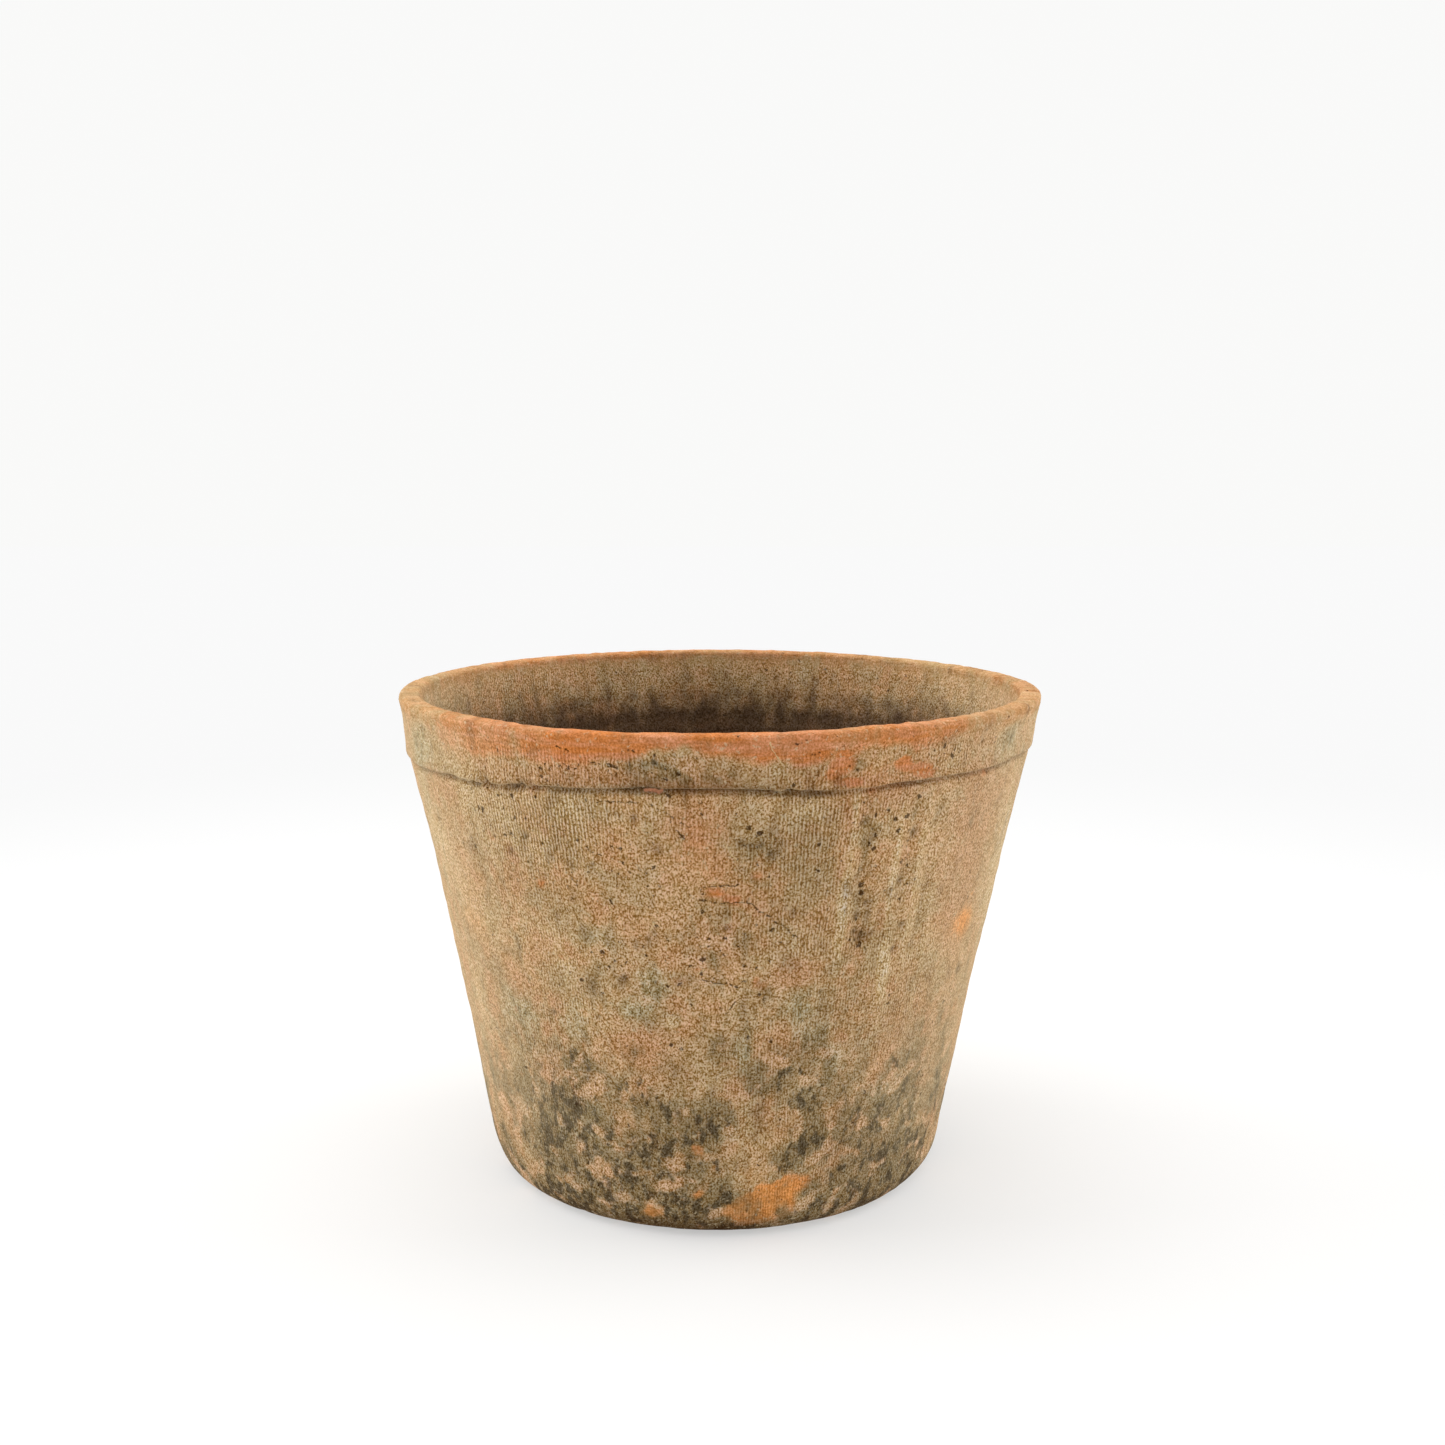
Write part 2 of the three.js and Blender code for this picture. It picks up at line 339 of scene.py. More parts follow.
# dark, dirty patches
GRIMES = [
    (-31, 25, 10, 8, 0.9), (-40, 20, 6, 6, 0.7), (-28, 38, 6, 4, 0.6), (-19, 15, 8, 9, 0.6),
    (-7, 20, 6, 8, 0.6), (-4, 104.3, 12, 2.6, 0.5), (-10, 30, 6, 5, 0.4), (4, 56, 22, 16, 0.22),
    (9, 38, 4, 5, 0.5), (18, 33, 8, 5, 0.45), (23, 21, 7, 9, 0.5), (31, 10, 10, 6, 0.7),
    (44, 14, 7, 5, 0.7), (38, 29, 3, 4, 0.7), (7, 88.5, 3, 3, 0.25), (12, 75, 7, 3, 0.25),
    (-8, 107, 9, 2.4, 0.55), (57, 106, 5, 3, 0.45), (-2, 30, 6, 6, 0.35), (34, 22, 8, 12, 0.5),
    (44, 31, 8, 10, 0.7), (14, 40, 7, 6, 0.6), (-15, 32, 7, 6, 0.4), (0, 68, 9, 14, 0.4),
    (21.5, 106, 2.4, 1.6, 0.5), (-20, 62, 14, 8, 0.15), (-4, 4, 10, 4, 1.2), (-22, 5, 7, 3, 0.6),
    (24, 4, 8, 3, 0.7), (100, 15, 12, 7), (160, 22, 12, 8), (-170, 108, 12, 3), (-118, 10, 10, 6),
    (-85, 26, 7, 9), (130, 40, 5, 8, 0.8), (92, 70, 6, 10, 0.4), (-150, 92, 9, 6, 0.4),
]
# dusty lime bloom
PALES = [
    (22, 76, 1.8, 24, 1.2), (31.6, 80, 1.3, 16, 0.9), (37.2, 78, 1.2, 20, 0.7), (33, 59, 1.6, 7, 1.6),
    (-40, 92, 16, 12, 0.8), (-27, 93, 12, 9, 0.9), (-33, 66, 12, 12, 0.6), (-62, 86, 12, 16, 0.8),
    (-60, 45, 9, 14, 0.6), (70, 80, 9, 20), (32.3, 63, 1.5, 6, 1.4), (34, 55, 1.4, 3),
    (-8.3, 51.5, 1.8, 1.5, 1.3), (-17, 53, 3, 2, 0.8), (-27, 52.5, 3.5, 2.5), (-30, 22, 1.4, 4),
    (24, 40, 2, 5, 0.8), (48, 22, 5, 6, 0.6), (-24, 97, 7, 4, 0.5), (-32, 98, 9, 3, 1.0),
    (14, 97, 6, 3, 0.6), (24, 106, 4, 2.4, 0.7), (-42, 28.5, 2, 2, 0.8), (-29.5, 18, 2.6, 1.6, 0.8),
    (6, 37, 3, 2, 0.7), (-88, 70, 12, 18), (120, 85, 10, 10), (-170, 72, 12, 8), (150, 30, 5, 4),
    (-130, 45, 7, 9), (88, 48, 6, 12),
]
# where dark pits crowd together
PITTED = [
    (-38, 92, 11, 8), (-12, 85, 10, 3, 0.8), (7, 89, 4, 5), (25.6, 82, 2.2, 15, 0.9),
    (26.6, 70, 2.6, 4, 1.5), (25, 96, 4, 4, 0.8), (34.2, 86, 1.8, 9, 1.4), (30, 92, 4, 4, 0.8),
    (-13, 84, 14, 8, 0.6), (0, 66, 14, 8, 0.6), (-24, 106.5, 5, 2, 0.8), (-33, 101, 9, 1.6, 1.2),
    (10, 102, 5, 1.4), (38, 107, 6, 4, 0.8), (-5, 107, 8, 3, 0.6), (-20, 63, 6, 4, 0.6), (120, 70, 10, 14),
    (-140, 75, 12, 8), (170, 95, 9, 5),
]
# where ribs of cloth are pressed in most
CLOTH_PRINTS = [(-27, 92, 16, 9), (17, 86, 9, 18), (-130, 90, 20, 14), (100, 60, 16, 20)]
# where the crease is rough with clods
ROUGH_STRETCHES = [
    (-44, 100, 9, 5), (-33, 101, 7, 5), (-11, 102, 4, 4, 0.6), (11, 102, 6, 3, 0.6), (-140, 100, 12, 4),
    (95, 100, 10, 4),
]
# nicks out of the lip
LIP_NICKS = [(18, HEIGHT, 2, 2, 0.4), (30, HEIGHT, 2, 2, 0.5), (36, HEIGHT, 3, 2, 0.5)]
# upright ridges, and troughs where the strength is below 0. Here the strength is mm of height
RUNS = [
    (22.4, 76, 0.7, 24, 0.32), (24.8, 84, 1.2, 17, -0.3), (26.6, 70, 0.9, 10, -0.25),
    (28.8, 74, 0.8, 24, 0.2), (31.8, 78, 0.7, 22, 0.3), (33.2, 62, 1.0, 10, 0.3),
    (34.4, 84, 0.9, 13, -0.32), (37, 78, 0.9, 24, 0.22), (39.5, 80, 1.1, 18, -0.18),
    (42, 70, 1.0, 22, 0.18), (-47, 88, 1.6, 12, -0.2), (115, 70, 1.5, 24, -0.3), (111, 72, 1.4, 22, 0.3),
    (-160, 76, 1.5, 20, 0.3), (-156, 74, 1.4, 18, -0.3),
]
# deep pits, as (angle, height, radius in mm)
HOLES = [
    (26.8, 69.0, 1.5), (25.4, 70.2, 0.9), (28.6, 69.4, 0.8), (25.2, 74.0, 0.8), (26.9, 76.5, 0.7),
    (33.4, 80.4, 1.0), (34.8, 90.6, 1.0), (24.3, 94.4, 0.9), (26.4, 91.0, 0.8), (35.6, 70.0, 0.8),
    (5.2, 90.4, 0.8), (6.8, 90.8, 0.7), (3.8, 91.2, 0.8), (8.6, 88.6, 0.9), (1.6, 73.0, 0.8),
    (-38, 86, 0.9), (-34, 90, 0.8), (-13.4, 96.0, 0.8), (-17, 61, 0.9), (13, 76, 0.7), (112, 66, 1.2),
    (168, 80, 1.0), (-128, 72, 1.2),
]


def uneven_hand_work(pot):
    """Wavy crease and lip, a rim that is not quite round, and a corner worn more on one side."""
    crease_rise = around(pot.angle, CREASE_RISE)
    lip_rise = around(pot.angle, LIP_RISE)
    up_wall = smooth_step(pot.height, CREASE_HEIGHT - CREASE_PULL, CREASE_HEIGHT)
    up_band = smooth_step(pot.height, CREASE_HEIGHT, HEIGHT - 1)
    rise = up_wall * crease_rise * (1 - up_band) + up_band * lip_rise
    share_up = pot.height / HEIGHT
    turn = np.radians(pot.angle)
    out_of_round = sum(size * np.sin(waves * turn + phase) for size, waves, phase in OUT_OF_ROUND)
    pot.height = pot.height + rise * (1 - pot.is_in("under", "floor", "hole"))
    pot.radius = pot.radius + out_of_round * share_up
    worn = around(pot.angle, BASE_WEAR) * pot.is_in("corner", "wall")
    pot.push(-worn * bell(pot.height, WEAR_HEIGHT, WEAR_REACH))


def worked_surface(pot):
    """Lumps, finger marks and runs pressed into the clay while it was wet. Returns the height of the runs."""
    outside = pot.is_in("corner", "wall", "edge", "band")
    lumps = sum(high * noise(pot.rest, across, seed) for high, across, seed in LUMPS)
    streaky = pot.rest * STREAKY
    streaks = 0.04 * noise(streaky, 2.6, 4)
    throwing = 0.03 * np.sin(pot.height * 2 * np.pi / THROWING_PITCH + 2 * noise(pot.rest, 30, 6))
    runs = sum(pot.patch(*run) for run in RUNS) * (1 + 0.5 * noise(streaky, 3.5, 5)) * pot.is_in("wall")
    pot.push(outside * (lumps + streaks + throwing) + runs)
    spiral = pot.height * 2 * np.pi / FINGER_PITCH + pot.angle * np.pi / 180
    finger_marks = 0.22 * np.sin(spiral + noise(pot.rest, 25, 7)) - 0.25 + 0.12 * noise(pot.rest, 7, 8)
    pot.push(pot.is_in("inside") * smooth_step(HEIGHT - pot.height, 3, 14) * finger_marks)
    pot.push(-pot.is_in("floor", "under") * 0.12 * (1 + noise(pot.rest, 4, 9)))
    pot.push(pot.is_in("lip") * (0.1 * noise(pot.rest, 5, 10) + 0.12 * noise(pot.rest, 1.8, 11)))
    return runs


def crease_groove(pot):
    """The line where the band was pressed on to the wall: a groove with clods on it, undercut at the front,
    and a thin ridge to the right. Returns the shade painted into the groove, into the clods' hollows and
    under the band's rolled edge, from 0 to 1."""
    above = pot.height - CREASE_HEIGHT - around(pot.angle, CREASE_RISE) + 0.2 * noise(pot.rest, 5, 12)
    outside = pot.is_in("wall", "edge", "band")
    overhang = around(pot.angle, OVERHANG)
    groove = bell(above, 0.1, 0.55) * (0.5 + 0.3 * noise(pot.rest, 9, 13))
    undercut = overhang * np.exp(-np.maximum(above, 0) / 1.2) * smooth_step(above, -0.6, 0.1)
    shaded_roll = overhang * np.exp(-np.maximum(above, 0) / 3.5) * smooth_step(above, -0.4, 0.2)
    rough = pot.patches(ROUGH_STRETCHES)
    clods = rough * bell(above, 0.6, 1.5) * np.clip(1.7 * noise(pot.rest, 2.0, 14), -1, 1)
    ridge_stretch = smooth_step(pot.angle, 12, 22) * (1 - smooth_step(pot.angle, 50, 62))
    ridge = ridge_stretch * bell(above, 0.9, 0.5) * 0.45
    pot.push(outside * (clods + ridge - 1.1 * groove - 0.7 * undercut))
    # painted shade in the groove, in the clods' hollows and under the band's rolled edge
    dark = np.maximum(1.1 * groove, 0.95 * undercut) + 0.6 * np.maximum(-clods, 0) + 0.28 * shaded_roll
    return outside * np.clip(dark, 0, 1)


def broken_skin(pot):
    """Flakes that have come off. Returns where the bright clay shows, from 0 to 1."""
    broken_edge = 0.42 * cloudy(pot.rest, 4.0, 20)
    flakes = smooth_step(pot.patches(FLAKES) + broken_edge, 0.25, 0.75)
    flakes = flakes * pot.is_in("corner", "wall", "edge", "band")
    pot.push(-FLAKE_DEPTH * smooth_step(flakes, 0.3, 0.8))
    return 0.85 * flakes


def pits(pot):
    """Round pits in the outside of the wall: the named holes, then scattered ones. Returns how deep in a pit
    each point is, from 0 to 1."""
    draw = np.random.default_rng(PIT_SEED)
    depth = np.max([pot.patch(angle, height, radius, radius) for angle, height, radius in HOLES], axis=0)
    depth = depth * pot.is_in("wall", "band")
    outside = pot.is_in("wall", "band", "corner") > 0
    outside_points = pot.rest[outside]
    for _ in range(PIT_COUNT):
        centre = outside_points[draw.integers(len(outside_points))]
        radius = 0.6 + 0.8 * draw.random() ** 3
        near = np.linalg.norm(outside_points - centre, axis=1)
        depth[outside] = np.maximum(depth[outside], bell(near, 0, radius) * draw.uniform(0.4, 1))
    pot.push(-PIT_DEPTH * depth)
    return depth


def lip_wear(pot):
    """Nicks out of the lip. Returns how much of the lip's skin is worn to bright clay."""
    nicks = smooth_step(cloudy(pot.rest, 3.2, 30), 0.75, 1.15) + pot.patches(LIP_NICKS)
    on_lip = pot.is_in("lip", "band") * smooth_step(pot.height, HEIGHT - 3, HEIGHT - 0.5)
    pot.push(-NICK_DEPTH * nicks * on_lip)
    reach = around(pot.angle, LIP_REACH) + 1.4 * cloudy(pot.rest, 6, 31)
    outer = pot.is_in("band", "lip") * smooth_step(HEIGHT - pot.height, reach + 2.5, reach - 1.5)
    inner = 0.7 * pot.is_in("inside") * smooth_step(pot.height, HEIGHT - 3.5, HEIGHT - 1.5)
    return around(pot.angle, LIP_BARE) * (outer + inner)


def weathering(pot, runs):
    """Each kind of stain over the outside, from 0 to 1; the grime also holds a shadow painted along the
    ground line.
    """
    outside = pot.is_in("corner", "wall", "edge", "band", "lip")
    low_down = 1 - smooth_step(pot.height, 8, 60)
    foot = 1 - smooth_step(pot.height, 0.5, 14)
    contact_shadow_line = 1 - smooth_step(pot.height, 0.5, 2.2)
    mottled = cloudy(pot.rest * np.array([1, 1, 0.75]), 7, 40)
    grime_and_shadow = pot.patches(GRIMES) + low_down * (0.46 + 0.42 * mottled) + 0.1 * mottled + 0.55 * foot
    moss = 0.8 * pot.patches(MOSSES) + low_down * 0.3 * cloudy(pot.rest, 9, 44)
    moss = moss + 0.12 * cloudy(pot.rest, 12, 48)
    pale = 0.7 * pot.patches(PALES) + 0.28 * cloudy(pot.rest * np.array([1, 1, 0.5]), 6, 52)
    stains = {
        # the darkest line along the ground is painted contact shadow, kept with the grime
        "grime_and_shadow": np.maximum(grime_and_shadow - 0.8 * np.minimum(runs, 0), 1.2 * contact_shadow_line),
        "moss": moss,
        "pale": pale + 1.3 * np.maximum(runs, 0),
        "blush": 0.75 * pot.patches(BLUSHES) + 0.3 * cloudy(pot.rest, 14, 56),
        "pitted": pot.patches(PITTED),
        "orange": 1.4 * pot.patches(ORANGES),
        "cloth": pot.patches(CLOTH_PRINTS),
    }
    return {name: np.clip(stain * outside, 0, 1) for name, stain in stains.items()}


def ground_shade(pot):
    """The shadow painted where the clay meets the ground, from 0 to 1."""
    near_ground = 1 - smooth_step(pot.height, 1.0, 6.5)
    return around(pot.angle, CONTACT_SHADE) * near_ground * pot.is_in("corner", "wall")


def mesh_object(name, points, faces, attributes):
    """A smooth-shaded mesh object, from points in mm, with one named number per point for each attribute."""
    mesh = bpy.data.meshes.new(name)
    mesh.from_pydata((points * MM).tolist(), [], faces)
    mesh.polygons.foreach_set("use_smooth", [True] * len(mesh.polygons))
    for key, values in attributes.items():
        mesh.attributes.new(key, "FLOAT", "POINT").data.foreach_set("value", values.astype(np.float32))
    mesh.update()
    thing = bpy.data.objects.new(name, mesh)
    bpy.context.scene.collection.objects.link(thing)
    return thing


def make_pot():
    """The pot as one mesh: its profile turned, worked and worn, with every stain, and the shade painted into
    the crease and at the ground, as an attribute.
    """
    pot = Surface(outside_profile() + lip_profile() + inside_profile())
    runs = worked_surface(pot)
    attributes = weathering(pot, runs)
    uneven_hand_work(pot)
    crease_shade = crease_groove(pot)
    bare = np.maximum(broken_skin(pot), lip_wear(pot))
    glow = pot.patches(GLOWS) * pot.is_in("corner", "wall", "edge", "band")
    attributes["fresh"] = np.clip(np.maximum(bare, glow), 0, 1)
    attributes["grime_and_shadow"] = attributes["grime_and_shadow"] * (1 - 0.75 * bare)
    shade = ground_shade(pot)
    # the pits' depth, with the shade painted into the crease and the shadow painted where the clay meets the
    # ground
    attributes["hollow"] = np.clip(np.maximum(0.8 * pits(pot), crease_shade) + shade, 0, 1)
    attributes["soiled"] = pot.is_in("inside", "floor", "hole") * smooth_step(HEIGHT - pot.height, 2, 22)
    points = pot.points()
    points[:, 0] += BASE_OFFSET * (1 - points[:, 2] / HEIGHT) * (1 - pot.is_in("hole", "floor"))
    points[:, 2] = np.maximum(points[:, 2], 0)
    return mesh_object("pot_clay", points, pot.faces, attributes)


# ---------------------------------------------------------------- materials

WARM_POWERS = (0.72, 1.0, 1.7)  # how fast red, green and blue fall off in shaded grain
UNROLL_RADIUS = 70.0  # mm; an angle around the pot times this is a distance along the unrolled wall


class Shader:
    """A node tree in the making, for a material or a world. Most methods add nodes and return an output."""

    def __init__(self, owner):
        owner.use_nodes = True
        self.owner = owner
        self.tree = owner.node_tree
        self.tree.nodes.clear()

    def node(self, kind, inputs, **settings):
        made = self.tree.nodes.new(kind)
        for key, value in settings.items():
            setattr(made, key, value)
        for key, value in inputs.items():
            if isinstance(value, bpy.types.NodeSocket):
                self.tree.links.new(value, made.inputs[key])
            else:
                made.inputs[key].default_value = value
        return made

    def place(self):
        """The point being shaded, in the object's own metres."""
        return self.node("ShaderNodeTexCoord", {}).outputs["Object"]

    def vector(self, operation, first, second, output="Vector"):
        return self.node("ShaderNodeVectorMath", {0: first, 1: second}, operation=operation).outputs[output]

    def attribute(self, name):
        return self.node("ShaderNodeAttribute", {}, attribute_name=name).outputs["Fac"]

    def noise(self, vector, size, detail=3.0, roughness=0.55, output="Fac"):
        """Noise about 0.5 with lumps `size` mm across."""
        inputs = {"Vector": vector, "Scale": 1 / (size * MM), "Detail": detail, "Roughness": roughness}
        return self.node("ShaderNodeTexNoise", inputs).outputs[output]

    def math(self, operation, first, second=0.0, third=0.0, clamp=False):
        inputs = {0: first, 1: second, 2: third}
        return self.node("ShaderNodeMath", inputs, operation=operation, use_clamp=clamp).outputs[0]

    def times(self, first, second):
        return self.math("MULTIPLY", first, second)

    def minus(self, first, second):
        return self.math("SUBTRACT", first, second)

    def times_plus(self, first, factor, added):
        """first times factor, plus added."""
        return self.math("MULTIPLY_ADD", first, factor, added)

    def most(self, *values):
        greatest = values[0]
        for value in values[1:]:
            greatest = self.math("MAXIMUM", greatest, value)
        return greatest

    def warm_grey(self, value):
        """A tint to multiply by, browner where value is below 1 and near neutral above it."""
        channels = {k: self.math("POWER", value, power) for k, power in enumerate(WARM_POWERS)}
        return self.node("ShaderNodeCombineColor", channels).outputs[0]

    def ramp(self, value, low, high, start=0.0, end=1.0):
        """Eases from start to end as value goes from low to high."""
        inputs = {"Value": value, "From Min": low, "From Max": high, "To Min": start, "To Max": end}
        return self.node("ShaderNodeMapRange", inputs, interpolation_type="SMOOTHSTEP").outputs[0]

    def mix(self, share, under, over, how="MIX"):
        made = self.node("ShaderNodeMix", {0: share, 6: under, 7: over}, data_type="RGBA", blend_type=how)
        return made.outputs[2]

    def finish(self, colour, roughness, height, gloss=0.15):
        """Sends colour, roughness, a height in mm and the strength of reflections to the surface."""
        bump = self.node("ShaderNodeBump", {"Height": height, "Distance": MM, "Strength": 1.0})
        inputs = {"Base Color": colour, "Roughness": roughness, "Normal": bump.outputs[0],
                  "Specular IOR Level": gloss}
        surface = self.node("ShaderNodeBsdfPrincipled", inputs)
        self.node("ShaderNodeOutputMaterial", {"Surface": surface.outputs[0]})
        return self.owner


def rgb(red, green, blue):
    """A colour given in 0 to 255 display values, as Blender's linear numbers."""
    linear = [((v / 255 + 0.055) / 1.055) ** 2.4 if v > 10 else v / 3295 for v in (red, green, blue)]
    return (*linear, 1.0)


TAN = rgb(196, 156, 104)
TAN_LIGHT = rgb(214, 184, 134)
TAN_PINK = rgb(196, 147, 102)
TAN_GREY = rgb(174, 149, 105)
BRIGHT_CLAY = rgb(206, 122, 56)
CORAL_CLAY = rgb(210, 138, 92)
ORANGE_CLAY = rgb(234, 152, 76)
MOSS_PALE = rgb(188, 174, 132)
MOSS_DARK = rgb(116, 122, 92)
GRIME_FILM = rgb(138, 118, 80)
GRIME_DARK = rgb(70, 58, 38)
# brown for pits and cracks, and for the shade painted into the crease and at the ground
PIT_AND_SHADE_BROWN = rgb(58, 30, 4)
LIME = rgb(222, 202, 166)
# the pale colour of the sheen painted at the edges
DUSTY_SHEEN = rgb(206, 186, 148)
STRAW = rgb(226, 200, 150)
CHIP_PINK = rgb(206, 142, 106)
SPOT_PINK = rgb(208, 168, 126)
SOIL = rgb(70, 50, 34)
SHERD_SKIN = rgb(186, 122, 82)
SHERD_SKIN_GREY = rgb(166, 132, 98)
SHERD_CORE_DARK = rgb(164, 84, 52)
SHERD_CORE_LIGHT = rgb(198, 118, 80)
SHERD_SPOT = rgb(92, 52, 34)

# stains, and the shade painted into the crease and at the ground, read from the pot's attributes
STAINS_AND_SHADE = ("fresh", "orange", "moss", "grime_and_shadow", "pale", "blush", "hollow", "soiled", "pitted", "cloth")
GRAIN_SIZE = 0.36  # mm
GRAIN_CONTRAST = 4.4
SMOOTHING = -2.9  # change in that contrast on the smooth lip and on bare clay
SHADE_LIMITS = (0.3, 1.6)  # how far grain may darken and lighten the clay
RIBS_AROUND = 570
RIB_CONTRAST = 0.65
WALL_WAVE = 1.6  # mm that thin marks on the wall wander from a straight line
SCRATCH_SLANT = math.radians(38)
PIT_SPACINGS = (1.2, 2.3)  # mm
PIT_UNEVENNESS = 1.6  # mm
PIT_DARKNESS = 0.85
DUSTY_SHEEN_SHARE = 0.28
RELIEF = {"grain": 0.2, "fine": 0.22, "ribs": 0.2, "pores": -0.3}  # mm
SMOOTH_LIP = (108, 112.5)  # heights between which the clay turns smooth towards the lip
DUSTY_SHEEN_START = (4, 30)  # heights between which the painted sheen comes in
DUSTY_SHEEN_END = (109, 112)  # heights between which it goes again

# thin dark marks: (angle, height) of each end, then half width in mm
CRACKS = [
    ((-20.7, 107.3), (-18.2, 107.1), 0.28), ((-16.9, 107.0), (-15.8, 106.6), 0.6),
    ((-13.6, 110.0), (-12.8, 109.8), 0.4), ((-25.3, 109.9), (-23.3, 109.2), 0.25),
    ((-24.2, 106.5), (-22.4, 105.7), 0.28), ((14.0, 109.6), (15.2, 109.4), 0.4),
    ((20.4, 106.6), (21.8, 105.5), 0.5), ((-6.6, 93.8), (-5.5, 92.4), 0.25),
    ((-23.3, 91.4), (-21.6, 88.6), 0.2), ((-21.6, 88.6), (-19.4, 87.8), 0.18),
    ((-2.9, 61.7), (-0.4, 60.6), 0.25), ((-0.4, 60.6), (2.2, 60.4), 0.25), ((4.0, 57.8), (1.4, 53.6), 0.25),
    ((4.6, 78.8), (8.2, 75.6), 0.3), ((8.2, 75.6), (14.0, 70.5), 0.2), ((-2.8, 81.8), (3.6, 82.4), 0.22),
    ((-3.4, 79.2), (1.0, 78.2), 0.25), ((1.0, 78.2), (4.2, 78.8), 0.2), ((-11.0, 99.5), (-4.6, 94.6), 0.16),
    ((-11.8, 102.7), (-9.0, 102.6), 0.3), ((-8.6, 101.3), (-7.6, 101.1), 0.4),
    ((-20.0, 99.0), (-12.0, 99.6), 0.15), ((152.0, 40.0), (158.0, 52.0), 0.3),
    ((-118.0, 70.0), (-112.0, 66.0), 0.3),
]
# straws and root hairs stuck to the clay, given the same way
FIBRES = [
    ((-3.8, 62.4), (-2.6, 63.8), 0.2), ((-11.8, 72.2), (-11.1, 73.6), 0.2),
    ((7.6, 112.0), (9.4, 107.6), 0.16), ((-9.2, 99.8), (-8.6, 98.6), 0.16),
    ((5.4, 50.2), (6.0, 48.6), 0.18), ((-19.0, 77.0), (-18.4, 75.8), 0.16),
    ((1.0, 91.0), (3.2, 87.2), 0.14), ((140.0, 88.0), (143.0, 86.0), 0.2),
    ((-96.0, 30.0), (-94.0, 33.0), 0.2),
]
CHIPS = [((-11.4, 102.1), (-9.0, 101.9), 0.55)]  # a flat chip of clay caught in the crease


def small_pits(s, place, spacing, crowding):
    """Crisp pits, at most one in each cell `spacing` mm across, in more of the cells where they crowd."""
    uneven = tuple([PIT_UNEVENNESS * MM] * 3)
    wander = s.vector("MULTIPLY", s.noise(place, 0.7, 2.0, 0.6, output="Color"), uneven)
    inputs = {"Vector": s.vector("ADD", place, wander), "Scale": 1 / (spacing * MM)}
    cells = s.node("ShaderNodeTexVoronoi", inputs).outputs
    chance = s.node("ShaderNodeSeparateColor", {0: cells["Color"]}).outputs[0]
    chance = s.times_plus(crowding, 0.35, chance)
    reach = s.minus(cells["Distance"], s.ramp(chance, 0.6, 1.3, 0.0, 0.36))
    return s.ramp(reach, -0.12, 0.0, 1.0, 0.0)


def unrolled_wall(s, place):
    """The wall unrolled flat, a little wavy, as (distance around, height, 0), then the angle and height."""
    parts = s.node("ShaderNodeSeparateXYZ", {"Vector": place}).outputs
    angle = s.math("ARCTAN2", parts["X"], s.times(parts["Y"], -1.0))
    around_wall = s.times(angle, UNROLL_RADIUS * MM)
    flat = s.node("ShaderNodeCombineXYZ", {0: around_wall, 1: parts["Z"]}).outputs[0]
    wave = s.vector("SUBTRACT", s.noise(place, 1.5, 2.0, output="Color"), (0.5, 0.5, 0.5))
    wave = s.vector("MULTIPLY", wave, (WALL_WAVE * MM, WALL_WAVE * MM, 0))
    return s.vector("ADD", flat, wave), angle, parts["Z"]


def straight_mark(s, unrolled, start, end, half_width):
    """1 along a thin mark from one (angle, height) to another, fading to 0 at its half width."""
    ends = [(math.radians(angle) * UNROLL_RADIUS, height, 0) for angle, height in (start, end)]
    start, end = (np.array(spot) * MM for spot in ends)
    along = end - start
    offset = s.vector("SUBTRACT", unrolled, start)
    share = s.vector("DOT_PRODUCT", offset, along / (along @ along), output="Value")
    share = s.math("ADD", share, 0.0, clamp=True)
    nearest = s.vector("MULTIPLY", s.node("ShaderNodeCombineXYZ", {0: share, 1: share}).outputs[0], along)
    distance = s.vector("DISTANCE", offset, nearest, output="Value")
    return s.ramp(distance, 0.3 * half_width * MM, half_width * MM, 1.0, 0.0)


def marks(s, unrolled, places):
    """Every mark in the list, joined one at a time so that few values are held at once."""
    joined = 0.0
    for place in places:
        joined = s.math("MAXIMUM", joined, straight_mark(s, unrolled, *place))
    return joined


def cloth_ribs(s, place, angle):
    """Fine upright ribs pressed in by cloth, from 0 to 1."""
    wander = s.times(s.noise(place, 4.0, 3.0), 9.0)
    wave = s.math("SINE", s.times_plus(angle, RIBS_AROUND, wander))
    return s.times_plus(wave, 0.5, 0.5)


def pressed_ribs(s, place, angle, cloth, clean, smooth_lip):
    """Ribs about 0, strong where cloth was pressed in, patchy elsewhere, and off where soiled or smooth."""
    share = s.math("ADD", cloth, s.ramp(s.noise(place, 26.0, 2.0), 0.45, 0.6, 0.0, 0.6))
    share = s.times(share, s.math("SUBTRACT", clean, smooth_lip, clamp=True))
    return s.times(s.minus(cloth_ribs(s, place, angle), 0.5), share)


def scratches(s, unrolled):
    """Fine slanting brush and scrape marks, about 0.5."""
    slanted = {"Vector": unrolled, "Rotation": (0, 0, SCRATCH_SLANT), "Scale": (0.12, 1.0, 1.0)}
    along = s.node("ShaderNodeMapping", slanted, vector_type="POINT").outputs[0]
    return s.noise(along, 0.55, 2.0, 0.6)


def stained(s, colour, stain, strength, breakup, low, high, most):
    """colour under stain, where strength broken up by noise rises from low to high, at most `most` opaque."""
    broken = s.math("ADD", strength, breakup)
    return s.mix(s.ramp(broken, low, high, 0.0, most), colour, stain)


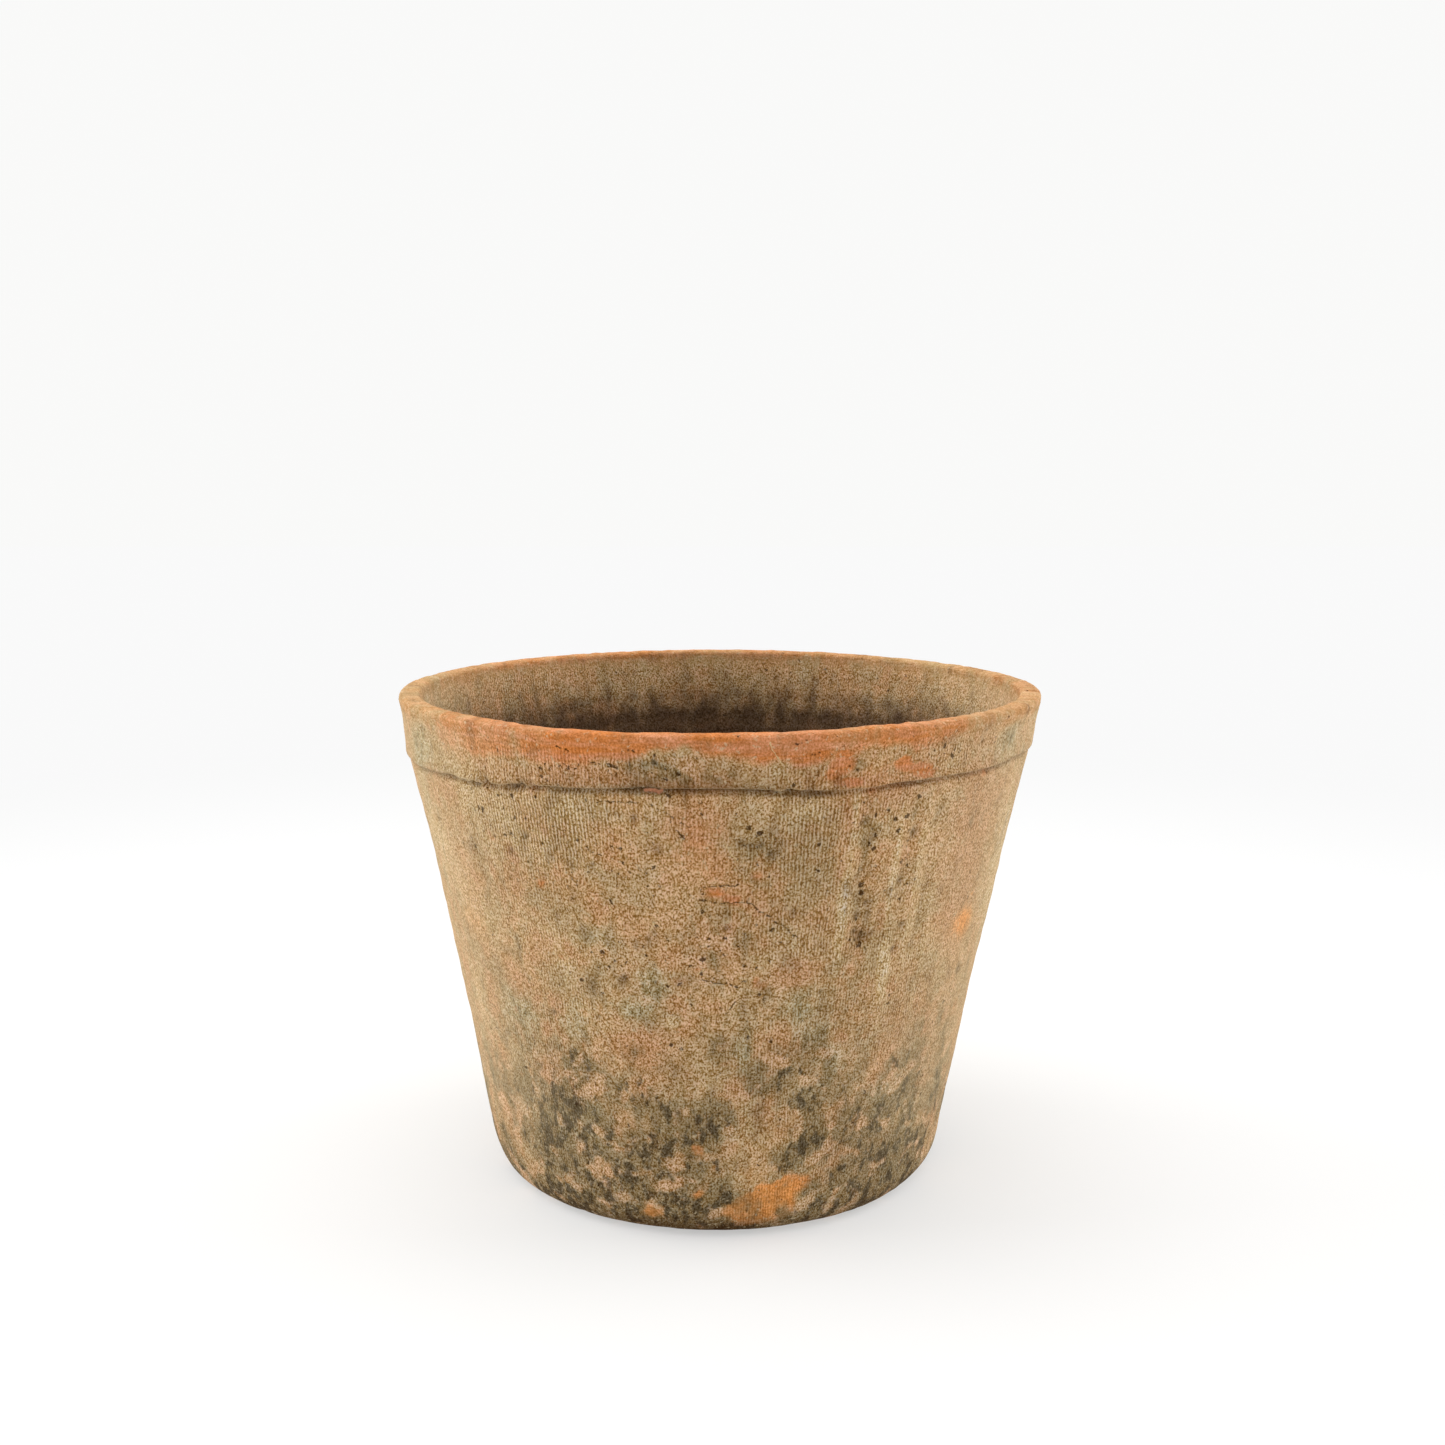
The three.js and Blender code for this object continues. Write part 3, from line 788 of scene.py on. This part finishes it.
def grimy(s, colour, strength, place, upright, middling):
    """A film of dirt with darker mottles in it, and small pinkish spots where it has come off again."""
    spots = s.ramp(s.noise(place, 5.2, 2.0, 0.5), 0.52, 0.68)
    spots = s.times(spots, s.ramp(strength, 0.1, 0.4))
    strength = s.times(strength, s.times_plus(spots, -0.8, 1.0))
    film = s.times_plus(middling, 1.4, -0.7)
    colour = stained(s, colour, GRIME_FILM, strength, film, 0.0, 0.7, 0.85)
    mottle = s.noise(upright, 2.2, 3.0, 0.65)
    level = s.times_plus(s.math("MINIMUM", strength, 0.85), 0.3, -0.02)
    dark = s.ramp(s.minus(level, s.minus(mottle, 0.34)), 0.0, 0.16, 0.0, 0.8)
    dark = s.times(dark, s.ramp(strength, 0.05, 0.35))
    colour = s.mix(dark, colour, GRIME_DARK)
    return s.mix(s.times(spots, 0.55), colour, SPOT_PINK)


def weathered_colour(s, stain, place, upright, fine):
    """The pot's colour before its finest grain: dusty tans, then each kind of stain in turn."""
    middling = s.noise(upright, 4.0, 2.0, 0.6)
    patchy = s.noise(place, 9.0, 3.0, 0.6)
    broad = s.noise(place, 20.0, 3.0)
    breakup = s.times_plus(s.times_plus(fine, 0.3, middling), 1.1, -0.715)
    colour = s.mix(s.ramp(middling, 0.25, 0.75), TAN_PINK, TAN)
    colour = s.mix(s.ramp(patchy, 0.4, 0.66, 0.0, 0.7), colour, TAN_GREY)
    colour = s.mix(s.ramp(broad, 0.4, 0.7, 0.0, 0.4), colour, TAN_LIGHT)
    colour = stained(s, colour, TAN_PINK, stain["blush"], breakup, 0.0, 0.7, 0.85)
    colour = stained(s, colour, TAN_LIGHT, stain["pale"], breakup, 0.1, 0.8, 0.65)
    colour = stained(s, colour, LIME, stain["pale"], breakup, 0.7, 1.3, 0.6)
    mossy = s.mix(s.ramp(fine, 0.3, 0.55), MOSS_DARK, MOSS_PALE)
    colour = stained(s, colour, mossy, stain["moss"], breakup, 0.1, 0.9, 0.7)
    wiped = s.noise(s.vector("MULTIPLY", place, (0.12, 0.12, 1.0)), 1.6, 3.0)
    clay = s.mix(s.ramp(wiped, 0.35, 0.65), BRIGHT_CLAY, CORAL_CLAY)
    clay = s.mix(stain["orange"], clay, ORANGE_CLAY)
    colour = stained(s, colour, clay, stain["fresh"], breakup, 0.0, 0.9, 0.95)
    # the grime here also paints the contact shadow along the ground line
    colour = grimy(s, colour, stain["grime_and_shadow"], place, upright, middling)
    return stained(s, colour, SOIL, stain["soiled"], breakup, 0.0, 1.0, 0.9)


def grain_shade(s, grain, fine, ribs, unrolled, smoothed):
    """How much the finest grain, ribs and scratches darken or lighten the clay, about 1."""
    contrast = s.times_plus(smoothed, SMOOTHING, GRAIN_CONTRAST)
    shade = s.times_plus(s.minus(grain, 0.5), contrast, 1.0)
    shade = s.times(shade, s.ramp(fine, 0.3, 0.7, 0.87, 1.13))
    shade = s.times(shade, s.times_plus(ribs, RIB_CONTRAST, 1.0))
    shade = s.times(shade, s.ramp(scratches(s, unrolled), 0.3, 0.7, 0.84, 1.16))
    darkest, lightest = SHADE_LIMITS
    return s.math("MINIMUM", s.math("MAXIMUM", shade, darkest), lightest)


def dusty_sheen_share(s, height, clean):
    """How much of the colour gives way to a painted pale sheen, a dusty paleness that shows most where the
    surface is seen edge on.
    """
    facing = s.node("ShaderNodeLayerWeight", {"Blend": 0.5}).outputs["Facing"]
    share = s.times(s.ramp(facing, 0.15, 0.8, 0.0, DUSTY_SHEEN_SHARE), clean)
    share = s.times(share, s.ramp(height, DUSTY_SHEEN_START[0] * MM, DUSTY_SHEEN_START[1] * MM, 0.0, 1.0))
    return s.times(share, s.ramp(height, DUSTY_SHEEN_END[0] * MM, DUSTY_SHEEN_END[1] * MM, 1.0, 0.0))


def pot_material():
    s = Shader(bpy.data.materials.new("aged_terracotta"))
    place = s.place()
    upright = s.vector("MULTIPLY", place, (1.0, 1.0, 0.55))
    stain = {name: s.attribute(name) for name in STAINS_AND_SHADE}
    unrolled, angle, height = unrolled_wall(s, place)
    grain = s.noise(s.vector("MULTIPLY", place, (1.0, 1.0, 0.75)), GRAIN_SIZE, 1.0, 0.6)
    fine = s.noise(upright, 1.5, 3.0, 0.65)
    clean = s.minus(1.0, stain["soiled"])
    smooth_lip = s.ramp(height, SMOOTH_LIP[0] * MM, SMOOTH_LIP[1] * MM)
    ribs = pressed_ribs(s, place, angle, stain["cloth"], clean, smooth_lip)
    pores = s.most(*[small_pits(s, place, spacing, stain["pitted"]) for spacing in PIT_SPACINGS])
    cracks = s.times(marks(s, unrolled, CRACKS), s.ramp(s.noise(place, 0.9, 1.0), 0.4, 0.52))
    fibres = marks(s, unrolled, FIBRES)
    chips = marks(s, unrolled, CHIPS)
    deep = s.most(pores, stain["hollow"], cracks)

    colour = weathered_colour(s, stain, place, upright, fine)
    shade = grain_shade(s, grain, fine, ribs, unrolled, s.math("MAXIMUM", smooth_lip, stain["fresh"]))
    colour = s.mix(1.0, colour, s.warm_grey(shade), "MULTIPLY")
    # pits and cracks darkened to brown, with the shade painted into the crease and the shadow painted at the
    # ground
    colour = s.mix(s.times(deep, PIT_DARKNESS), colour, PIT_AND_SHADE_BROWN)
    light_grains = s.times(s.ramp(s.noise(place, 0.9, 2.0), 0.6, 0.72), clean)
    colour = s.mix(s.times(light_grains, 0.5), colour, LIME)
    colour = s.mix(chips, colour, CHIP_PINK)
    colour = s.mix(s.times(fibres, 0.75), colour, STRAW)
    # painted sheen: a pale dusty tint where the surface is seen edge on
    colour = s.mix(dusty_sheen_share(s, height, clean), colour, DUSTY_SHEEN)

    relief = s.times(grain, RELIEF["grain"])
    relief = s.times_plus(fine, RELIEF["fine"], relief)
    relief = s.times_plus(ribs, RELIEF["ribs"], relief)
    relief = s.times_plus(pores, RELIEF["pores"], relief)
    roughness = s.ramp(fine, 0.3, 0.7, 0.85, 0.97)
    gloss = s.times_plus(deep, -0.15, 0.15)
    return s.finish(colour, roughness, relief, gloss)


def crock_material():
    """Soiled skin on the old faces of a sherd, and brighter clay where it broke."""
    s = Shader(bpy.data.materials.new("broken_terracotta"))
    place = s.place()
    grain = s.noise(place, 0.6, 4.0, 0.65)
    middling = s.noise(place, 5.0, 4.0, 0.6)
    broken = s.attribute("broken")
    skin = s.mix(s.ramp(middling, 0.4, 0.62), SHERD_SKIN, SHERD_SKIN_GREY)
    skin = s.mix(s.ramp(s.noise(place, 9.0, 4.0), 0.5, 0.64, 0, 0.8), skin, SOIL)
    core = s.mix(s.ramp(grain, 0.35, 0.65), SHERD_CORE_DARK, SHERD_CORE_LIGHT)
    colour = s.mix(s.ramp(broken, 0.3, 0.7), skin, core)
    spots = s.ramp(s.noise(place, 1.2, 2.0, 0.5), 0.3, 0.4, 1.0, 0.0)
    colour = s.mix(s.times(spots, 0.6), colour, SHERD_SPOT)
    shade = s.ramp(grain, 0.3, 0.7, 0.8, 1.15)
    colour = s.mix(1.0, colour, s.warm_grey(shade), "MULTIPLY")
    relief = s.times_plus(grain, 0.14, s.times(middling, 0.2))
    relief = s.times_plus(spots, -0.15, relief)
    return s.finish(colour, s.ramp(grain, 0.3, 0.7, 0.85, 0.97), relief)


# ---------------------------------------------------------------- the crocks

CROCK_VOXEL = 0.55  # mm
CROCK_SHRINK = 0.15  # mm that the sherd keeps inside its CAD solid
CROCK_SMOOTHING = 3  # passes
EDGE_TURN = 14  # mm; noise for the outline is read around a circle of this radius


def broken_outline(points):
    """The points drawn in towards their middle by uneven amounts around it, so that no edge is straight."""
    middle = points[:, :2].mean(axis=0)
    outward = points[:, :2] - middle
    reach = np.linalg.norm(outward, axis=1)[:, None]
    around_edge = np.hstack([middle + EDGE_TURN * outward / np.maximum(reach, 1), 0.4 * points[:, 2:]])
    bite = 0.1 * (1 + noise(around_edge, 7, 72)) + 0.04 * (1 + noise(around_edge, 2.5, 73))
    drawn_in = outward * bite[:, None] * smooth_step(reach, 2, 9)
    return np.hstack([points[:, :2] - drawn_in, points[:, 2:]])


def remeshed_copy(node_name):
    """A finely meshed copy of a CAD crock, as an object of its own."""
    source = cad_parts[node_name]
    crock = source.copy()
    crock.data = source.data.copy()
    crock.name = node_name.replace("crock", "sherd")
    crock.parent = None
    for key in [key for key in crock.keys() if key.startswith("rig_")]:
        del crock[key]
    bpy.context.scene.collection.objects.link(crock)
    remesh = crock.modifiers.new("remesh", "REMESH")
    remesh.mode = "VOXEL"
    remesh.voxel_size = CROCK_VOXEL * MM
    soften = crock.modifiers.new("soften", "SMOOTH")
    soften.iterations = CROCK_SMOOTHING
    evaluated = crock.evaluated_get(bpy.context.evaluated_depsgraph_get())
    mesh = bpy.data.meshes.new_from_object(evaluated)
    crock.modifiers.clear()
    crock.data = mesh
    return crock


def make_crock(node_name):
    """A detailed sherd grown from the CAD crock, with rough broken edges and worn corners."""
    crock = remeshed_copy(node_name)
    mesh = crock.data
    points = np.array([v.co for v in mesh.vertices]) / MM
    normals = np.array([v.normal for v in mesh.vertices])
    broken = 1 - smooth_step(np.abs(normals[:, 2]), 0.5, 0.85)
    points = broken_outline(points)
    rough = 0.3 * (1 + cloudy(points, 2.6, 70)) + 0.15 * noise(points * np.array([1, 1, 2.5]), 1.6, 74)
    worn = 0.08 * noise(points, 6, 76) + 0.04 * noise(points, 2, 77)
    inward = np.maximum(CROCK_SHRINK + broken * rough + (1 - broken) * worn, 0)
    mesh.vertices.foreach_set("co", ((points - normals * inward[:, None]) * MM).astype(np.float32).ravel())
    mesh.attributes.new("broken", "FLOAT", "POINT").data.foreach_set("value", broken.astype(np.float32))
    mesh.polygons.foreach_set("use_smooth", [True] * len(mesh.polygons))
    mesh.update()
    return crock


# ---------------------------------------------------------------- stage, light and camera

CAMERA_SIDE = 0.75  # mm
CAMERA_DISTANCE = 387.5  # mm
CAMERA_HEIGHT = 164.7  # mm
CAMERA_PITCH = 8.86  # degrees below level
SENSOR = 36.0
LENS = 41.1
FLOOR_SIZE = 6.0  # metres
FLOOR_FADE = (0.04, 0.6)  # metres from the pot's axis
FLOOR_GLOW = 0.5  # how much of the floor beside the pot is its own brightness
FLOOR_WHITE = rgb(244, 244, 243)
BACKDROP = 0.95
WORLD_FRONT = 0.4
WORLD_BACK = 0.9
LIGHT_TARGET = Vector((0, 0, 0.06))  # metres
LIGHTS = {  # name: place and size in metres, power in watts
    "window_left": ((-1.1, 0.15, 0.6), (1.0, 0.9), 9),
    "window_right": ((1.15, 0.25, 0.6), (1.0, 0.9), 8),
    "overhead": ((-0.1, -0.1, 1.4), (1.4, 1.2), 8),
}


def make_floor():
    """A pale floor that fades into the backdrop's own brightness away from the pot."""
    bpy.ops.mesh.primitive_plane_add(size=FLOOR_SIZE, location=(0, 0, 0))
    floor = bpy.context.object
    floor.name = "floor"
    s = Shader(bpy.data.materials.new("pale_floor"))
    distance = s.node("ShaderNodeVectorMath", {0: s.place()}, operation="LENGTH").outputs["Value"]
    near = s.node("ShaderNodeBsdfDiffuse", {"Color": FLOOR_WHITE})
    far = s.node("ShaderNodeEmission", {"Color": (1.0, 1.0, 1.0, 1.0), "Strength": BACKDROP})
    share = s.ramp(distance, *FLOOR_FADE, FLOOR_GLOW, 1.0)
    mixed = s.node("ShaderNodeMixShader", {0: share, 1: near.outputs[0], 2: far.outputs[0]})
    s.node("ShaderNodeOutputMaterial", {"Surface": mixed.outputs[0]})
    floor.data.materials.append(s.owner)


def add_light(name, place, size, power):
    """A soft rectangular light that faces the pot."""
    data = bpy.data.lights.new(name, "AREA")
    data.shape = "RECTANGLE"
    data.size, data.size_y = size
    data.energy = power
    light = bpy.data.objects.new(name, data)
    bpy.context.scene.collection.objects.link(light)
    light.location = place
    light.rotation_euler = (LIGHT_TARGET - Vector(place)).to_track_quat("-Z", "Y").to_euler()


def make_world():
    """A bright surround, dimmer from the side of the camera. The camera itself sees it plain and pale."""
    world = bpy.data.worlds.new("studio")
    bpy.context.scene.world = world
    s = Shader(world)
    outward = s.node("ShaderNodeTexCoord", {}).outputs["Generated"]
    direction = s.node("ShaderNodeSeparateXYZ", {"Vector": outward}).outputs
    surround = s.ramp(direction["Y"], -0.7, 0.6, WORLD_FRONT, WORLD_BACK)
    seen = s.node("ShaderNodeLightPath", {}).outputs["Is Camera Ray"]
    strength = s.times_plus(seen, s.minus(BACKDROP, surround), surround)
    background = s.node("ShaderNodeBackground", {"Color": (1.0, 1.0, 0.992, 1.0), "Strength": strength})
    s.node("ShaderNodeOutputWorld", {"Surface": background.outputs[0]})


def make_camera():
    data = bpy.data.cameras.new("camera")
    data.sensor_width = SENSOR
    data.lens = LENS
    camera = bpy.data.objects.new("camera", data)
    camera.location = (CAMERA_SIDE * MM, -CAMERA_DISTANCE * MM, CAMERA_HEIGHT * MM)
    camera.rotation_euler = (math.radians(90 - CAMERA_PITCH), 0, 0)
    bpy.context.scene.collection.objects.link(camera)
    bpy.context.scene.camera = camera


# ---------------------------------------------------------------- putting it together

def dress(piece, node_name, material):
    """Puts the material on a piece, makes it ride on its body and stand for its CAD node."""
    piece.data.materials.clear()
    piece.data.materials.append(material)
    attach(piece, node_name)
    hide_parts(node_name)


dress(make_pot(), "pot", pot_material())
crock_clay = crock_material()
for node_name in ("crock_over_hole", "crock_right", "crock_front"):
    dress(make_crock(node_name), node_name, crock_clay)

make_floor()
make_world()
for name, settings in LIGHTS.items():
    add_light(name, *settings)
make_camera()
bpy.context.scene.view_settings.view_transform = "Standard"
